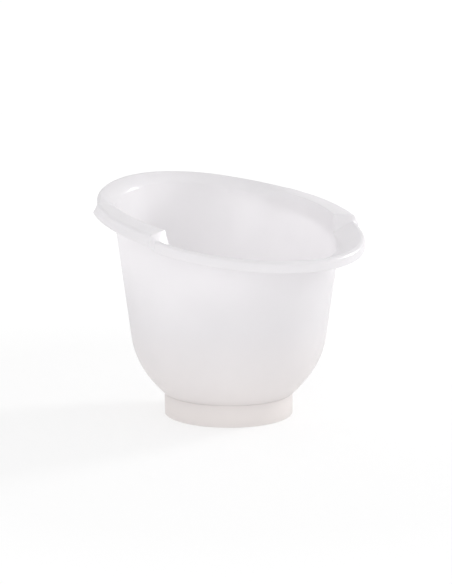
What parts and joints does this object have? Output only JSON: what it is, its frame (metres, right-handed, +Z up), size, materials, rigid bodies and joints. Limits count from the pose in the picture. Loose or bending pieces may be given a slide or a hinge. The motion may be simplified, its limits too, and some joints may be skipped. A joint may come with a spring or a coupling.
{
  "type": "baby bathtub",
  "caption": "Bucket-shaped baby bathtub with a high back, a slanting turned-down rim and ledge grips at both sides, on a foot ring with a non-slip ring",
  "frame": {"origin": "centre of the bounding box in plan, on the floor under the non-slip ring; the tub's own axis stands 6.5 mm behind it, at Y = 0.0065", "axes": "+Z up along the tub's own axis, +Y towards the high backrest, -Y towards the low entry side, side grips at +X and -X"},
  "size_m": [0.454, 0.437, 0.3889],
  "materials": {
    "tub_plastic": "milky translucent moulded plastic, satin outside and glossier on the rim",
    "foot_plastic": "milky moulded plastic, a little duller than the tub",
    "soft_rubber": "matte pale thermoplastic rubber"
  },
  "bodies": {
    "root": {"tub_shell": "tub_plastic", "foot_ring": "foot_plastic", "non_slip_ring": "soft_rubber"}
  },
  "joints": []
}
